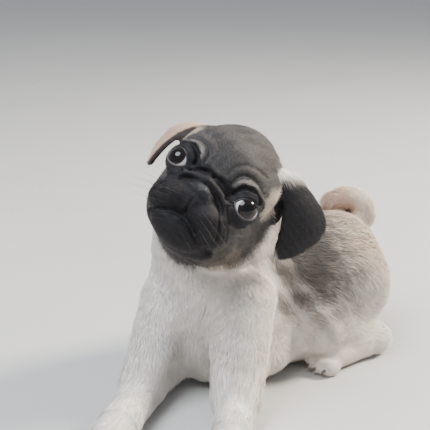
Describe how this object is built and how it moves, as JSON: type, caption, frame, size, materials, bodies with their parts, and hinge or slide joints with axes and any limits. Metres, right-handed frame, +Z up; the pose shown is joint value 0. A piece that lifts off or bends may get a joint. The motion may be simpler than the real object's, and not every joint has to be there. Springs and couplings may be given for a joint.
{
  "type": "pug puppy, still life-size model",
  "caption": "Still model of a pug puppy lying on its chest, head raised and tilted, forelegs stretched ahead, rump swung to its left and tail curled over the back.",
  "frame": {"origin": "middle of the bounding box's footprint, on the ground", "axes": "+Z up; -Y the way the chest and forelegs face; +X the dog's left"},
  "size_m": [0.1788, 0.256, 0.1884],
  "materials": {
    "cream_coat": "short cream fur",
    "face_coat": "short grizzled grey-brown fur with a near-black mask",
    "saddle_coat": "cream fur tipped with grey",
    "ear_velvet": "velvety charcoal fur",
    "nose_leather": "pebbled, faintly moist",
    "eye": "wet, very dark brown"
  },
  "bodies": {
    "root": {"head": "face_coat", "neck": "cream_coat", "torso": "cream_coat", "rump": "saddle_coat", "tail": "cream_coat", "nose": "nose_leather", "eye_left": "eye", "eye_right": "eye", "ear_left": "ear_velvet", "ear_right": "ear_velvet", "foreleg_left": "cream_coat", "foreleg_right": "cream_coat", "fore_paw_left": "cream_coat", "fore_paw_right": "cream_coat", "hind_leg_left": "cream_coat", "hind_leg_right": "cream_coat", "hind_paw_left": "cream_coat", "hind_paw_right": "cream_coat"}
  },
  "joints": []
}
